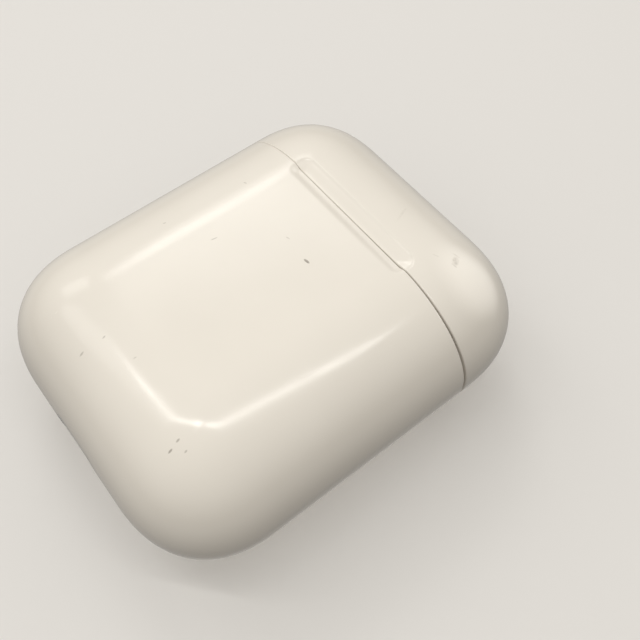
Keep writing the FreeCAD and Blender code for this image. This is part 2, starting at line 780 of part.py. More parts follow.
def make_main_board():
    board = new_body("main_board")
    middle = D["board_base"] + D["board_length"] / 2
    sketch = sketch_on(board, "XY_Plane", second=middle, out=D["board_level"])
    draw_rounded(sketch, D["board_width"], D["board_length"], D["board_corner"])
    pad(board, sketch, D["board_thickness"])
    keep(board, "main_board")


def on_board(name, across, along, sizes):
    """A block soldered to the back side of the main board."""
    width, length, height = (Size(size, repr(size)) for size in sizes)
    return box(name, (across, along, D["board_level"] - height / 2), (width, length, height))


def make_board_parts():
    keep(on_board("Controller", 6.5, -10.0, (5.0, 5.0, 0.9)), "controller_chip")
    keep(on_board("ShieldCan", -5.5, -10.5, (8.5, 8.0, 1.2)), "shield_can")
    keep(on_board("PowerChip", 6.5, -3.5, (3.0, 3.0, 0.8)), "power_chip")
    keep(on_board("BatteryConnector", -7.5, 1.8, (5.0, 2.4, 1.1)), "battery_connector")
    passives = []
    for column in range(5):
        for row in range(2):
            passives.append(on_board("Passive", 3.2 + 1.9 * column, 0.6 + 1.7 * row, (1.0, 0.6, 0.5)))
    keep(joined("Passives", passives), "board_passives")


def make_switch():
    """The push switch behind the setup button, with a hole for its plunger."""
    base = D["board_level"] - D["switch_height"]
    switch = new_body("setup_switch")
    outline = sketch_on(switch, "XY_Plane", second=D["button_rise"], out=base)
    draw_rounded(outline, D["switch_size"], D["switch_size"], D["switch_size"] * 0.12)
    pad(switch, outline, D["switch_height"])
    hole = sketch_on(switch, "XY_Plane", second=D["button_rise"], out=base - 0.5)
    draw_circle(hole, D["switch_hole"])
    cut(switch, hole, D["switch_hole_depth"] + 0.5, along_normal=True)
    keep(switch, "setup_switch")


def make_button():
    button = new_body("setup_button")
    stages = (
        (D["button_diameter"], D["button_recess"], D["wall"] + 0.02),
        (D["flange_diameter"], D["wall"] + 0.02, D["wall"] + 0.02 + D["flange_thickness"]),
        (D["post_diameter"], D["wall"] + 0.02 + D["flange_thickness"], D["plunger_start"]),
    )
    for diameter, start, end in stages:
        sketch = sketch_on(button, "XY_Plane", second=D["button_rise"], out=start)
        draw_circle(sketch, diameter)
        pad(button, sketch, end - start)
    keep(button, "setup_button")
    plunger_start = (0.0, D["button_rise"], D["plunger_start"])
    plunger = rod("Plunger", plunger_start, D["plunger_diameter"], D["plunger_length"], Vector(0, 0, 1))
    keep(plunger, "switch_plunger")


# ---------------------------------------------------------------- charging port


def make_port():
    face = -(END_LEVEL - D["bezel_recess"])
    rim = D["bezel_rim"] * 2
    bezel = new_body("port_bezel")
    ring = sketch_on(bezel, "XZ_Plane", second=MID_DEPTH, out=-face)
    draw_rounded(ring, D["port_width"] + rim, D["port_height"] + rim, (D["port_height"] + rim) * 0.49)
    pad(bezel, ring, D["bezel_length"], against_normal=True)
    opening = sketch_on(bezel, "XZ_Plane", second=MID_DEPTH, out=-face + 1.0)
    draw_rounded(opening, D["port_width"], D["port_height"], D["port_height"] * 0.49)
    cut(bezel, opening, D["bezel_length"] + 2.0)
    keep(bezel, "port_bezel")

    mouth = face + D["bezel_length"] + 0.05
    socket = new_body("port_socket")
    outline = sketch_on(socket, "XZ_Plane", second=MID_DEPTH, out=-mouth)
    draw_rounded(outline, D["socket_width"], D["socket_height"], D["socket_height"] * 0.2)
    pad(socket, outline, D["socket_length"], against_normal=True)
    cavity = sketch_on(socket, "XZ_Plane", second=MID_DEPTH, out=-mouth + 1.0)
    draw_rounded(cavity, D["cavity_width"], D["cavity_height"], D["cavity_height"] * 0.45)
    cut(socket, cavity, D["cavity_depth"] + 1.0)
    keep(socket, "port_socket")

    contacts = []
    middle = mouth + D["cavity_depth"] - D["pad_contact_length"] / 2 - 0.3
    contact_level = MID_DEPTH - D["cavity_height"] / 2 + D["pad_contact_height"] / 2
    sizes = (D["pad_contact_width"], D["pad_contact_length"], D["pad_contact_height"])
    for place in range(8):
        across = D["pad_contact_pitch"] * (place - 3.5)
        contacts.append(box("PortContact", (across, middle, contact_level), sizes))
    keep(joined("PortContacts", contacts), "port_contacts")

    board_top = D["board_level"] + D["board_thickness"]
    rise_top = MID_DEPTH + D["socket_height"] / 2
    back = mouth + D["socket_length"] + 0.05
    thickness = D["flex_thickness"]
    low = board_top + 0.02
    rise_centre = (0.0, back + thickness / 2, (low + rise_top) / 2)
    rise = box("FlexRise", rise_centre, (D["flex_width"], thickness, rise_top - low))
    run_length = D["flex_width"] * 0.7
    run_centre = (0.0, back + run_length / 2, low + thickness / 2)
    run = box("FlexRun", run_centre, (D["flex_width"], run_length, thickness))
    keep(joined("PortFlex", [rise, run]), "port_flex")


# ---------------------------------------------------------------- build, check, write


make_body_shell()
make_lid_shell()
make_charging_tray()
make_well("left_well", -1)
make_well("right_well", 1)
make_stem_tube("left_stem_tube", -1)
make_stem_tube("right_stem_tube", 1)
make_lid_liner()
make_hinge_body_leaf()
make_hinge_lid_leaf()
make_hinge_pin()
make_hinge_springs()
make_screws("body_hinge_screws", D["body_screw_level"])
make_screws("lid_hinge_screws", D["lid_screw_level"])
make_magnets()
make_contacts()
make_status_light()
make_battery()
make_main_board()
make_board_parts()
make_switch()
make_button()
make_port()
document.recompute()

for item in document.Objects:
    if "Invalid" in item.State or "Error" in item.State:
        raise RuntimeError(f"{item.Label} failed: {item.State}")
for sub_part in SUB_PARTS:
    if sub_part.Shape.isNull() or not sub_part.Shape.isValid():
        raise RuntimeError(f"{sub_part.Label} has no valid shape")

os.makedirs("parts", exist_ok=True)
for sub_part in SUB_PARTS:
    sub_part.Shape.exportStep(f"parts/{sub_part.Label}.step")
    print(f"{sub_part.Label:22s} {len(sub_part.Shape.Solids)} solids {sub_part.Shape.Volume:10.2f} mm3")
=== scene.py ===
import json
import math

import bmesh
import bpy
import numpy as np
from mathutils import Matrix, Vector


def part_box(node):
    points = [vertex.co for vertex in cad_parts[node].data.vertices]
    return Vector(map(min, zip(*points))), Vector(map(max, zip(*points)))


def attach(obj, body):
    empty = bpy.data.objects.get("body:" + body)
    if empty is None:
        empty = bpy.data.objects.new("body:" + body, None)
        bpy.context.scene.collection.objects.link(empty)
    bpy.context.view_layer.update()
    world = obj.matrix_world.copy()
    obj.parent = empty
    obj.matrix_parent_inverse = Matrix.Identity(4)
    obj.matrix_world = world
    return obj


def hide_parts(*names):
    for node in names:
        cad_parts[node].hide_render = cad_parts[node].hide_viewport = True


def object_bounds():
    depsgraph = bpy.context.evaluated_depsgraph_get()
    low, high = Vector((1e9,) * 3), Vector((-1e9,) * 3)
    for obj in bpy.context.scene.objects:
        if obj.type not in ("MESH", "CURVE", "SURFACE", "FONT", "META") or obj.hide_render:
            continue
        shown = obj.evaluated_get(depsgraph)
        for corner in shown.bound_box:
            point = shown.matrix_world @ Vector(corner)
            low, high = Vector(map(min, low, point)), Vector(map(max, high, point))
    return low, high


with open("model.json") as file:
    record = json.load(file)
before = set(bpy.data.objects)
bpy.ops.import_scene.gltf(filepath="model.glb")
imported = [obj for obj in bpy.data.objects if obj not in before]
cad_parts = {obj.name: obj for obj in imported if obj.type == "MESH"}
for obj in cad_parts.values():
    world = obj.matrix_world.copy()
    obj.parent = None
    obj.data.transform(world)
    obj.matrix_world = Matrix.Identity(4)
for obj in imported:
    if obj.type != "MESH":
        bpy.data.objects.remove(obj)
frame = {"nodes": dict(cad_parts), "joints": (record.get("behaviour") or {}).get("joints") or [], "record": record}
cad_low, cad_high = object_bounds()

MM = 0.001

# ---------------------------------------------------------------- sizes, in metres

HALF_WIDTH = (cad_high.x - cad_low.x) / 2
HALF_LENGTH = (cad_high.y - cad_low.y) / 2
HALF_DEPTH = (cad_high.z - cad_low.z) / 2
MIDDLE = (cad_high.z + cad_low.z) / 2

# the outer form: a flat core rounded off by super-elliptic corners and edges
ROUND_ACROSS = 13.06 * MM
ROUND_ALONG = 12.64 * MM
PLAN_POWER = 2.38
EDGE_POWER = 2.04
CORE_ACROSS = HALF_WIDTH - ROUND_ACROSS
CORE_ALONG = HALF_LENGTH - ROUND_ALONG

# the CAD form, which has circular corners and edges
CAD_CORNER = 11.3 * MM
CAD_EDGE = 10.6 * MM

HINGE = next(Vector(joint["pos_m"]) for joint in frame["joints"] if joint["name"] == "lid_hinge")
SEAM = HINGE.y
SEAM_GAP = 0.02 * MM
SEAM_SKEW = 0.17 * MM
SEAM_REACH = 1.5 * MM
WALL = 1.3 * MM
RIM_ROUND = 0.14 * MM
RIM_SETBACK = 0.06 * MM
CUT_DEPTH = 3 * MM

# the pocket in both shells that the hinge lies in
HINGE_RELIEF = 1.95 * MM
RELIEF_DEPTH = 3.0 * MM
RELIEF_HALF_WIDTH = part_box("hinge_body_leaf")[1].x + 0.1 * MM

# the shallow thumb notch, whose edge is soft on the body and a fine step on the lid
NOTCH_HALF_WIDTH = 10.5 * MM
NOTCH_LOW = SEAM - 1.6 * MM
NOTCH_HIGH = SEAM + 2.1 * MM
NOTCH_CORNER = 1.5 * MM
NOTCH_DEPTH = 0.44 * MM
NOTCH_BODY_EDGE = 1.2 * MM
NOTCH_LID_STEP = 0.12 * MM
NOTCH_LID_EDGE = 0.42 * MM

BUTTON_LOW, BUTTON_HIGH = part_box("setup_button")
BUTTON_Y = (BUTTON_LOW.y + BUTTON_HIGH.y) / 2
BUTTON_RADIUS = 2.4 * MM
BUTTON_EDGE = 0.18 * MM
BUTTON_DISH = 0.05 * MM
BUTTON_FLANGE_LEVEL = 1.27 * MM
BUTTON_FLANGE_THICKNESS = 0.55 * MM
BUTTON_POST_RADIUS = 1.0 * MM
BUTTON_HOLE_RADIUS = 2.5 * MM
BUTTON_HOLE_FLARE = 0.12 * MM

PORT_LOW, PORT_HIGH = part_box("port_bezel")
PORT_HALF_ACROSS = PORT_HIGH.x
PORT_HALF_UP = (PORT_HIGH.z - PORT_LOW.z) / 2
PORT_GAP = 0.05 * MM
PORT_ROUNDNESS = 0.98
BEZEL_RIM = 0.45 * MM
BEZEL_EDGE = 0.1 * MM
BEZEL_DRAFT = 0.04 * MM
BEZEL_LIP = 0.9 * MM
BEZEL_DEPTH = 2.0 * MM

# how finely the shells are divided, in metres, degrees or shares of the core
NOTCH_STEP = 0.15 * MM
NOTCH_BAND = 1.6 * MM
FLAT_SHARE = 0.06
SHOULDER_END = 13
SHOULDER_STEP = 0.65
ROUND_STEP = 2.5
SEAM_ROW = 0.1 * MM
OUTER_ROW = 0.9 * MM
INNER_ROW = 1.5 * MM
INNER_STEP = 6
NOTCH_MARGIN = 0.4 * MM
FORM_STEP = 3
FORM_ROW = 2 * MM

# how CAD copies follow the outer form: cut off this far inside it, or eased within these shares
TRIM_INSET = 0.05 * MM
EASE_LIMITS = (0.88, 1.05)


# ---------------------------------------------------------------- outer form


def form_height(x, y, inset):
    """Height of the outer form above its middle plane at (x, y), inset inwards."""
    a = np.maximum(np.abs(x) - CORE_ACROSS, 0) / (ROUND_ACROSS - inset)
    b = np.maximum(np.abs(y) - CORE_ALONG, 0) / (ROUND_ALONG - inset)
    k = (a ** PLAN_POWER + b ** PLAN_POWER) ** (1 / PLAN_POWER)
    return (HALF_DEPTH - inset) * np.maximum(1 - k ** EDGE_POWER, 0) ** (1 / EDGE_POWER)


def cad_height(x, y, inset):
    """The same height on the CAD form."""
    corner = np.hypot(np.maximum(np.abs(x) - (HALF_WIDTH - CAD_CORNER), 0),
                      np.maximum(np.abs(y) - (HALF_LENGTH - CAD_CORNER), 0))
    side = np.minimum(HALF_WIDTH - np.abs(x), HALF_LENGTH - np.abs(y))
    in_corner = (np.abs(x) > HALF_WIDTH - CAD_CORNER) & (np.abs(y) > HALF_LENGTH - CAD_CORNER)
    depth_in = np.where(in_corner, CAD_CORNER - corner, side) - inset
    radius = CAD_EDGE - inset
    reach = np.clip(radius - depth_in, 0, radius)
    return HALF_DEPTH - CAD_EDGE + np.sqrt(radius ** 2 - reach ** 2)


def smooth_step(value):
    value = np.clip(value, 0, 1)
    return value * value * (3 - 2 * value)


def notch_dip(x, y):
    """How far the thumb notch sinks the front face at (x, y)."""
    middle = (NOTCH_LOW + NOTCH_HIGH) / 2
    half = (NOTCH_HIGH - NOTCH_LOW) / 2
    across = np.abs(x) - (NOTCH_HALF_WIDTH - NOTCH_CORNER)
    along = np.abs(y - middle) - (half - NOTCH_CORNER)
    outside = np.hypot(np.maximum(across, 0), np.maximum(along, 0))
    distance = NOTCH_CORNER - outside - np.minimum(np.maximum(across, along), 0)
    body_dip = NOTCH_DEPTH * smooth_step(distance / NOTCH_BODY_EDGE)
    lid_dip = NOTCH_LID_STEP * smooth_step(distance / NOTCH_LID_EDGE)
    lid_dip += (NOTCH_DEPTH - NOTCH_LID_STEP) * smooth_step(distance / (NOTCH_HIGH - SEAM))
    return np.where(y < SEAM, body_dip, lid_dip)


# ---------------------------------------------------------------- columns and rows of the shells


def spaced(start, end, step):
    count = max(1, round(abs(end - start) / step))
    return list(np.linspace(start, end, count + 1))


def half_columns():
    """Columns across one face, from one side to the other: flat places from -1 to 1
    in the core, then turns of 0 to 90 degrees round each side."""
    fine = 1 - NOTCH_BAND / CORE_ACROSS
    flats = spaced(-1, -fine, NOTCH_STEP / CORE_ACROSS) + spaced(-fine, fine, FLAT_SHARE)[1:-1]
    flats += spaced(fine, 1, NOTCH_STEP / CORE_ACROSS)
    turns = spaced(0, SHOULDER_END, SHOULDER_STEP)[1:] + spaced(SHOULDER_END, 90, ROUND_STEP)[1:]
    columns = [(-1, turn) for turn in reversed(turns)]
    columns += [(flat, 0) for flat in flats]
    columns += [(1, turn) for turn in turns]
    return columns


def all_columns():
    """Columns right round the section: front face first, then the back face."""
    half = half_columns()
    front = [(place, turn, 1) for place, turn in half]
    back = [(place, turn, -1) for place, turn in reversed(half[1:-1])]
    return np.array(front + back, float)


COLUMNS = all_columns()


def section(y, inset, dip):
    """Points round the case at y, inset inwards, with the share dip of the notch."""
    place, turn, face = COLUMNS.T
    b = min(1.0, max(abs(y) - CORE_ALONG, 0) / (ROUND_ALONG - inset))
    reach = (1 - b ** PLAN_POWER) ** (1 / PLAN_POWER)
    x = CORE_ACROSS * place + (ROUND_ACROSS - inset) * reach * place * np.sin(np.radians(turn))
    a = reach * np.sin(np.radians(turn))
    k = np.minimum((a ** PLAN_POWER + b ** PLAN_POWER) ** (1 / PLAN_POWER), 1)
    height = (HALF_DEPTH - inset) * (1 - k ** EDGE_POWER) ** (1 / EDGE_POWER)
    height = np.where(turn > 89.99, 0, height)
    z = MIDDLE + face * height
    z = z - np.where(face > 0, dip * notch_dip(x, np.full_like(x, y)), 0)
    return np.column_stack([x, np.full_like(x, y), z])


def shell_rows(end, rim):
    """Rows (y, inset, dip) from the outer end to the rim, over it and back inside."""
    sign = 1 if end > 0 else -1
    rows = []
    for angle in spaced(90, 0, ROUND_STEP):
        rows.append((sign * (CORE_ALONG + ROUND_ALONG * math.sin(math.radians(angle))), 0.0, 1.0))
    start = rim + sign * RIM_ROUND
    fine_end = NOTCH_HIGH + NOTCH_MARGIN if sign > 0 else NOTCH_LOW - NOTCH_MARGIN
    if sign > 0:
        rows = [row for row in rows if row[0] > fine_end]
    else:
        rows += [(y, 0.0, 1.0) for y in spaced(rows[-1][0], fine_end, OUTER_ROW)[1:-1]]
    rows += [(y, 0.0, 1.0) for y in spaced(fine_end, start, SEAM_ROW)]
    for angle in (22.5, 45, 67.5, 90):
        turn = math.radians(angle)
        rows.append((start - sign * RIM_ROUND * math.sin(turn), RIM_ROUND * (1 - math.cos(turn)), 1.0))
    for share in (0.4, 0.7, 0.95):
        rows.append((rim, WALL * share, 1 - share))
    inner_start = rim + sign * RIM_SETBACK
    rows.append((inner_start, WALL, 0.0))
    if sign < 0:
        rows += [(y, WALL, 0.0) for y in spaced(inner_start, -CORE_ALONG, INNER_ROW)[1:]]
    for angle in spaced(0, 90, INNER_STEP)[1:]:
        y = sign * (CORE_ALONG + (ROUND_ALONG - WALL) * math.sin(math.radians(angle)))
        if sign < 0 or y > inner_start + SEAM_ROW:
            rows.append((y, WALL, 0.0))
    return rows


# ---------------------------------------------------------------- mesh helpers


def new_object(name, mesh):
    piece = bpy.data.objects.new(name, mesh)
    bpy.context.scene.collection.objects.link(piece)
    return piece


def mesh_from(name, points, faces):
    """A mesh with doubled points merged, flat slivers removed and its faces turned outwards."""
    mesh = bpy.data.meshes.new(name)
    mesh.from_pydata([tuple(point) for point in points], [], faces)
    built = bmesh.new()
    built.from_mesh(mesh)
    bmesh.ops.remove_doubles(built, verts=built.verts, dist=1e-7)
    bmesh.ops.dissolve_degenerate(built, edges=built.edges, dist=1e-7)
    bmesh.ops.recalc_face_normals(built, faces=built.faces)
    built.to_mesh(mesh)
    built.free()
    return mesh


def grid_faces(rows, columns):
    """Quads between closed rows."""
    faces = []
    for row in range(rows - 1):
        for column in range(columns):
            after = (column + 1) % columns
            faces.append((row * columns + column, row * columns + after,
                          (row + 1) * columns + after, (row + 1) * columns + column))
    return faces


def loft(name, loops, closed=False, capped=False):
    """A skin over loops of equally many points; closed joins the last loop to the first."""
    columns = len(loops[0])
    loops = loops + [loops[0]] if closed else loops
    points = np.concatenate(loops)
    faces = grid_faces(len(loops), columns)
    if capped:
        faces.append(tuple(range(columns)))
        faces.append(tuple((len(loops) - 1) * columns + column for column in reversed(range(columns))))
    return new_object(name, mesh_from(name, points, faces))


def shade(piece, degrees=30):
    """Smooth shading that keeps edges sharper than this angle."""
    mesh = piece.data
    mesh.polygons.foreach_set("use_smooth", [True] * len(mesh.polygons))
    mesh.set_sharp_from_angle(angle=math.radians(degrees))
    return piece


def cut_away(piece, cutter, keep_inside=False):
    """Take the cutter's volume out of the piece, or keep only what is inside it."""
    modifier = piece.modifiers.new("Cut", "BOOLEAN")
    modifier.operation = "INTERSECT" if keep_inside else "DIFFERENCE"
    modifier.solver = "EXACT"
    modifier.object = cutter
    graph = bpy.context.evaluated_depsgraph_get()
    result = bpy.data.meshes.new_from_object(piece.evaluated_get(graph))
    piece.modifiers.clear()
    old = piece.data
    piece.data = result
    bpy.data.meshes.remove(old)
    cutter_mesh = cutter.data
    bpy.data.objects.remove(cutter)
    bpy.data.meshes.remove(cutter_mesh)
    return piece


def block(name, low, high):
    """A plain block used only as a cutter."""
    corners = [(x, y, z) for x in (low[0], high[0]) for y in (low[1], high[1]) for z in (low[2], high[2])]
    faces = [(0, 1, 3, 2), (4, 6, 7, 5), (0, 4, 5, 1), (2, 3, 7, 6), (0, 2, 6, 4), (1, 5, 7, 3)]
    return new_object(name, mesh_from(name, corners, faces))


def slot_loop(half_across, half_up, corner, y, count=16):
    """A rounded slot outline in the plane across Y, centred on the middle of the case."""
    points = []
    for index, (side, up) in enumerate(((1, 1), (-1, 1), (-1, -1), (1, -1))):
        for step in range(count + 1):
            angle = math.radians(90 * index + 90 * step / count)
            points.append((side * (half_across - corner) + corner * math.cos(angle), y,
                           MIDDLE + up * (half_up - corner) + corner * math.sin(angle)))
    return np.array(points)


def circle_loop(radius, z, centre_y, count=96):
    angles = np.linspace(0, 2 * math.pi, count, endpoint=False)
    return np.column_stack([radius * np.cos(angles), centre_y + radius * np.sin(angles), np.full(count, z)])


def lathe(name, profile, centre_y):
    """A round solid about a line along Z; the profile runs from axis to axis as (radius, z)."""
    loops = [circle_loop(max(radius, 1e-6), z, centre_y) for radius, z in profile]
    return loft(name, loops, capped=True)


def arc(centre, radius, start, end, steps=6):
    """Points of an arc as pairs, angles in degrees."""
    angles = [math.radians(start + (end - start) * step / steps) for step in range(steps + 1)]
    return [(centre[0] + radius * math.cos(angle), centre[1] + radius * math.sin(angle)) for angle in angles]


def finish_piece(piece, body, slot, *nodes):
    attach(piece, body)
    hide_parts(*nodes)
    return piece


# ---------------------------------------------------------------- shells


def shell_mesh(name, end, rim):
    """One half of the shell; the seam opens slightly towards the right-hand side."""
    rows = shell_rows(end, rim)
    points = np.concatenate([section(*row) for row in rows])
    near_rim = smooth_step(1 - np.abs(points[:, 1] - rim) / SEAM_REACH)
    across = (points[:, 0] / HALF_WIDTH + 1) / 2
    points[:, 1] += (1 if end > 0 else -1) * near_rim * SEAM_SKEW * across ** 4
    return new_object(name, mesh_from(name, points, grid_faces(len(rows), len(COLUMNS))))


def relief_cutter():
    """The pocket that the hinge lies in, across the back of the seam."""
    return block("relief_cutter", (-RELIEF_HALF_WIDTH, SEAM - HINGE_RELIEF, cad_low.z - MM),
                 (RELIEF_HALF_WIDTH, SEAM + HINGE_RELIEF, cad_low.z + RELIEF_DEPTH))


def port_cutter():
    """The opening that the port's ring sits in."""
    half_up = PORT_HALF_UP + PORT_GAP
    ends = (cad_low.y - MM, cad_low.y + CUT_DEPTH)
    loops = [slot_loop(PORT_HALF_ACROSS + PORT_GAP, half_up, half_up * PORT_ROUNDNESS, y) for y in ends]
    return loft("port_cutter", loops, capped=True)


def button_cutter():
    """The button's hole, opened slightly at the outer face."""
    hole = BUTTON_HOLE_RADIUS
    flare = BUTTON_HOLE_FLARE
    profile = [(hole + flare * 2, cad_low.z - flare), (hole, cad_low.z + flare)]
    profile.append((hole, cad_low.z + CUT_DEPTH))
    return lathe("button_cutter", profile, BUTTON_Y)


def make_body_shell():
    shell = shell_mesh("body_shell_skin", -HALF_LENGTH, SEAM - SEAM_GAP / 2)
    cut_away(shell, relief_cutter())
    cut_away(shell, port_cutter())
    cut_away(shell, button_cutter())
    shade(shell)
    return finish_piece(shell, "case", "shell_white", "body_shell")


def make_lid_shell():
    shell = shell_mesh("lid_shell_skin", HALF_LENGTH, SEAM + SEAM_GAP / 2)
    cut_away(shell, relief_cutter())
    shade(shell)
    return finish_piece(shell, "lid", "shell_white", "lid_shell")


def form_solid(inset):
    """The whole outer form as one solid, inset inwards."""
    rows = []
    for angle in spaced(-90, 0, FORM_STEP)[:-1]:
        rows.append(-CORE_ALONG + (ROUND_ALONG - inset) * math.sin(math.radians(angle)))
    rows += spaced(-CORE_ALONG, CORE_ALONG, FORM_ROW)
    for angle in spaced(0, 90, FORM_STEP)[1:]:
        rows.append(CORE_ALONG + (ROUND_ALONG - inset) * math.sin(math.radians(angle)))
    points = np.concatenate([section(y, inset, 0) for y in rows])
    return new_object("form_solid", mesh_from("form_solid", points, grid_faces(len(rows), len(COLUMNS))))


def copied(name, node):
    """A copy of a CAD node's mesh with its doubled points merged."""
    mesh = frame["nodes"][node].data.copy()
    mesh.name = name
    mesh.materials.clear()
    built = bmesh.new()
    built.from_mesh(mesh)
    bmesh.ops.remove_doubles(built, verts=built.verts, dist=1e-6)
    built.to_mesh(mesh)
    built.free()
    return new_object(name, mesh)


def trimmed_copy(name, node, body, slot):
    """A copy of a CAD node cut off where it would stand out of the super-elliptic form."""
    piece = cut_away(copied(name, node), form_solid(TRIM_INSET), keep_inside=True)
    shade(piece, 25)
    return finish_piece(piece, body, slot, node)


def fitted_copy(name, node, body, slot, inset):
    """A copy of a CAD node eased onto the super-elliptic form, so it follows the shells."""
    piece = copied(name, node)
    mesh = piece.data
    points = np.empty(len(mesh.vertices) * 3, np.float32)
    mesh.vertices.foreach_get("co", points)
    points = points.reshape(-1, 3).astype(float)
    ratio = form_height(points[:, 0], points[:, 1], inset) / cad_height(points[:, 0], points[:, 1], inset)
    points[:, 2] = MIDDLE + (points[:, 2] - MIDDLE) * np.clip(ratio, *EASE_LIMITS)
    mesh.vertices.foreach_set("co", points.astype(np.float32).ravel())
    shade(piece, 25)
    return finish_piece(piece, body, slot, node)


def make_button():
    """A slightly dished cap with its flange and post, turned about its own axis."""
    face = BUTTON_LOW.z
    edge = BUTTON_EDGE
    flange_low = face + BUTTON_FLANGE_LEVEL
    flange_high = flange_low + BUTTON_FLANGE_THICKNESS
    profile = [(0, face + BUTTON_DISH), (BUTTON_RADIUS * 0.5, face + BUTTON_DISH * 0.7)]
    profile += [(BUTTON_RADIUS - 2 * edge, face + BUTTON_DISH * 0.2)]
    profile += arc((BUTTON_RADIUS - edge, face + edge), edge, -90, 0)
    profile += [(BUTTON_RADIUS, flange_low), (BUTTON_HIGH.x, flange_low), (BUTTON_HIGH.x, flange_high)]
    profile += [(BUTTON_POST_RADIUS, flange_high), (BUTTON_POST_RADIUS, BUTTON_HIGH.z), (0, BUTTON_HIGH.z)]
    button = lathe("setup_button_cap", profile, BUTTON_Y)
    shade(button)
    return finish_piece(button, "button", "shell_white", "setup_button")


def end_level(z):
    """Where the middle of the lower end's surface lies along Y at this height."""
    height = abs(z - MIDDLE) / HALF_DEPTH
    return -CORE_ALONG - ROUND_ALONG * (1 - height ** EDGE_POWER) ** (1 / EDGE_POWER)


def make_port_bezel():
    """A ring flush with the curved end of the case, with rounded edges and a tapered bore."""
    edge = BEZEL_EDGE
    bore = BEZEL_RIM + BEZEL_DRAFT
    profile = [(0, BEZEL_DEPTH), (0, edge)]
    profile += arc((edge, edge), edge, 180, 270)[1:]
    profile += arc((BEZEL_RIM - edge, edge), edge, 270, 360)
    profile += [(bore, BEZEL_LIP), (bore, BEZEL_DEPTH)]
    loops = []
    for offset, depth in profile:
        up = PORT_HALF_UP - offset
        loop = slot_loop(PORT_HALF_ACROSS - offset, up, up * PORT_ROUNDNESS, 0)
        loop[:, 1] = [min(end_level(z) + depth, PORT_HIGH.y) for z in loop[:, 2]]
        loops.append(loop)
    bezel = loft("port_bezel_ring", loops, closed=True)
    shade(bezel)
    return finish_piece(bezel, "case", "port_steel", "port_bezel")


# ---------------------------------------------------------------- materials


class Nodes:
    """A material's node tree, with short calls to add and join nodes."""

    def __init__(self, name):
        self.material = bpy.data.materials.new(name)
        self.material.use_nodes = True
        self.tree = self.material.node_tree
        self.shader = self.tree.nodes["Principled BSDF"]
        self.place = self.add("ShaderNodeTexCoord").outputs["Object"]

    def add(self, kind, **values):
        node = self.tree.nodes.new(kind)
        for key, value in values.items():
            setattr(node, key, value)
        return node

    def join(self, output, target):
        self.tree.links.new(output, target)

    def set(self, name, value):
        self.shader.inputs[name].default_value = value

    def noise(self, scale, detail=4.0, roughness=0.5, place=None):
        node = self.add("ShaderNodeTexNoise")
        node.inputs["Scale"].default_value = scale
        node.inputs["Detail"].default_value = detail
        node.inputs["Roughness"].default_value = roughness
        self.join(place or self.place, node.inputs["Vector"])
        return node.outputs["Fac"]

    def stretched(self, scale, turn=(0, 0, 0), location=(0, 0, 0)):
        node = self.add("ShaderNodeMapping")
        node.inputs["Scale"].default_value = scale
        node.inputs["Rotation"].default_value = [math.radians(angle) for angle in turn]
        node.inputs["Location"].default_value = location
        self.join(self.place, node.inputs["Vector"])
        return node.outputs["Vector"]

    def span(self, value, low, high, to_low, to_high):
        node = self.add("ShaderNodeMapRange")
        for name, number in (("From Min", low), ("From Max", high), ("To Min", to_low), ("To Max", to_high)):
            node.inputs[name].default_value = number
        self.join(value, node.inputs["Value"])
        return node.outputs["Result"]

    def math(self, operation, first, second):
        node = self.add("ShaderNodeMath", operation=operation)
        for socket, value in zip(node.inputs, (first, second)):
            if isinstance(value, (int, float)):
                socket.default_value = value
            else:
                self.join(value, socket)
        return node.outputs["Value"]

    def mix(self, factor, first, second):
        node = self.add("ShaderNodeMix", data_type="RGBA")
        sockets = {socket.identifier: socket for socket in node.inputs}
        for key, value in (("Factor_Float", factor), ("A_Color", first), ("B_Color", second)):
            if isinstance(value, tuple):
                sockets[key].default_value = (*value, 1)
            elif isinstance(value, (int, float)):
                sockets[key].default_value = value
            else:
                self.join(value, sockets[key])
        return next(socket for socket in node.outputs if socket.identifier == "Result_Color")

    def bump(self, height, strength, distance, normal=None):
        node = self.add("ShaderNodeBump")
        node.inputs["Strength"].default_value = strength
        node.inputs["Distance"].default_value = distance
        self.join(height, node.inputs["Height"])
        if normal:
            self.join(normal, node.inputs["Normal"])
        return node.outputs["Normal"]


def scratches(nodes, angles, fineness=900):
    """Hair-fine lines in several directions: 1 on a scratch, 0 elsewhere."""
    total = None
    for index, angle in enumerate(angles):
        along = fineness / 9
        place = nodes.stretched((fineness * 2.2, along, along), (0, 0, angle), (index * 3.7, index, 0))
        line = nodes.span(nodes.noise(1.0, 2.0, 0.5, place), 0.66, 0.74, 0, 1)
        patch = nodes.span(nodes.noise(140 + 25 * index, 1.0, 0.5), 0.5, 0.62, 0, 1)
        line = nodes.math("MULTIPLY", line, patch)
        total = line if total is None else nodes.math("MAXIMUM", total, line)
    return total


def mark(nodes, centre, size, turn):
    """A soft-edged spot at a place on the case: 1 in the middle, 0 outside."""
    node = nodes.add("ShaderNodeMapping", vector_type="TEXTURE")
    node.inputs["Location"].default_value = (centre[0] * MM, centre[1] * MM, MIDDLE + HALF_DEPTH)
    node.inputs["Rotation"].default_value = (0, 0, math.radians(turn))
    node.inputs["Scale"].default_value = (size[0] * MM, size[1] * MM, 8 * MM)
    nodes.join(nodes.place, node.inputs["Vector"])
    length = nodes.add("ShaderNodeVectorMath", operation="LENGTH")
    nodes.join(node.outputs["Vector"], length.inputs[0])
    return nodes.span(length.outputs["Value"], 0.55, 1.0, 1, 0)


